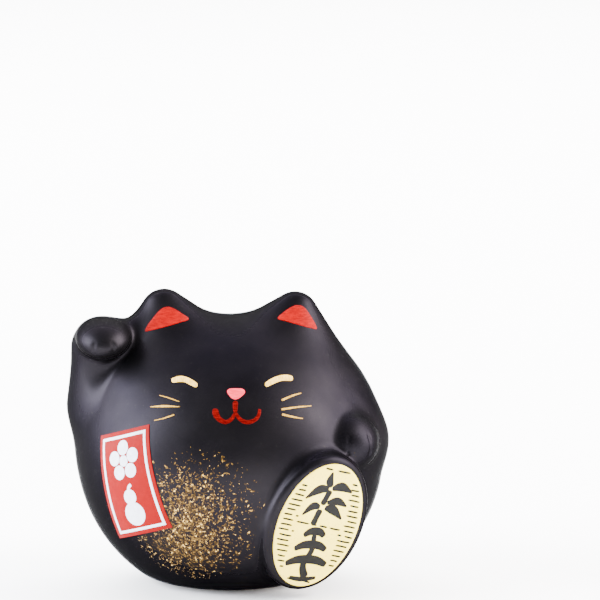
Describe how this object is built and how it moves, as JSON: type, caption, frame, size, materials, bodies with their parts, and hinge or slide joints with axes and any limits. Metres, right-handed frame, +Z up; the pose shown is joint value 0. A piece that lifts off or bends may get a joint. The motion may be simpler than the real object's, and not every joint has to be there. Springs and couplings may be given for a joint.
{
  "type": "beckoning cat figurine",
  "caption": "Round black ceramic beckoning cat with one paw raised, standing on a flat foot, with a painted face, a red paper label and a gold foil koban coin.",
  "frame": {"origin": "centre of the flat foot, at the level the figurine stands on", "axes": "+Z up; the cat looks towards -Y; the raised paw is on -X, the cat's own right; the coin and the lower paw are on +X"},
  "size_m": [0.0583, 0.0528, 0.0536],
  "materials": {
    "black_ceramic": "satin",
    "red_paint": "satin brushed paint",
    "gold_paint": "pale gold paint",
    "pink_paint": "satin paint",
    "mouth_paint": "thin satin paint",
    "gold_flecks": "metallic flecks",
    "red_label": "matt printed paper",
    "white_print": "matt print",
    "gold_foil": "pale satin gold foil paper",
    "black_ink": "matt print"
  },
  "bodies": {
    "root": {"body_shell": "black_ceramic", "ear_paint_right": "red_paint", "ear_paint_left": "red_paint", "eye_paint_right": "gold_paint", "eye_paint_left": "gold_paint", "nose_paint": "pink_paint", "mouth_paint": "mouth_paint", "whiskers_right": "gold_paint", "whiskers_left": "gold_paint", "gold_fleck_spray": "gold_flecks", "fortune_label": "red_label", "label_frame_print": "white_print", "label_upper_motif": "white_print", "label_lower_motif": "white_print", "koban_foil": "gold_foil", "koban_hatch_print": "black_ink", "koban_upper_motif": "black_ink", "koban_lower_motif": "black_ink"}
  },
  "joints": []
}
